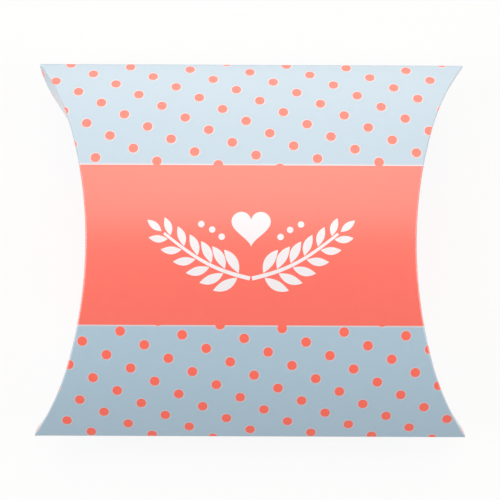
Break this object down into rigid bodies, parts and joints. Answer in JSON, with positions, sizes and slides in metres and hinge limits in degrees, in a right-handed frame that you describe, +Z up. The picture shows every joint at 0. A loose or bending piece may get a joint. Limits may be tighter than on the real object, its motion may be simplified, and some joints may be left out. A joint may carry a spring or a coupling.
{
  "type": "pillow box",
  "caption": "Bowed carton gift box with straight long folds, a coral band over a dotted pale blue print, and curved tuck flaps closing both ends.",
  "frame": {"origin": "where the crown of the back panel touches the surface that the box lies on, under the middle of the box", "axes": "+X along the two long folds to the right, +Y across the panels to the fold with the glued seam, +Z up through the front panel"},
  "size_m": [0.1294, 0.1126, 0.033],
  "materials": {
    "printed_board": "satin",
    "raw_board": "matte",
    "adhesive": "matte"
  },
  "bodies": {
    "shell": {"front_panel": "printed_board", "back_panel": "printed_board", "glue_flap": "raw_board", "seam_adhesive": "adhesive"},
    "right_outer": {"right_outer_flap": "printed_board"},
    "right_inner": {"right_inner_flap": "printed_board"},
    "left_outer": {"left_outer_flap": "printed_board"},
    "left_inner": {"left_inner_flap": "printed_board"}
  },
  "joints": [
    {"name": "right_outer_fold", "type": "hinge", "parent": "shell", "child": "right_outer", "pos_m": [0.0485, 0, 0.033], "axis": [0, -1, 0], "range_deg": [0, 90]},
    {"name": "right_inner_fold", "type": "hinge", "parent": "shell", "child": "right_inner", "pos_m": [0.04761, 0, 0], "axis": [0, 1, 0], "range_deg": [0, 81]},
    {"name": "left_outer_fold", "type": "hinge", "parent": "shell", "child": "left_outer", "pos_m": [-0.0485, 0, 0.033], "axis": [0, 1, 0], "range_deg": [0, 90]},
    {"name": "left_inner_fold", "type": "hinge", "parent": "shell", "child": "left_inner", "pos_m": [-0.04761, 0, 0], "axis": [0, -1, 0], "range_deg": [0, 81]}
  ],
  "couplings": [
    {"joint": "right_inner_fold", "follows": "right_outer_fold", "ratio": 0.9},
    {"joint": "left_inner_fold", "follows": "left_outer_fold", "ratio": 0.9}
  ]
}
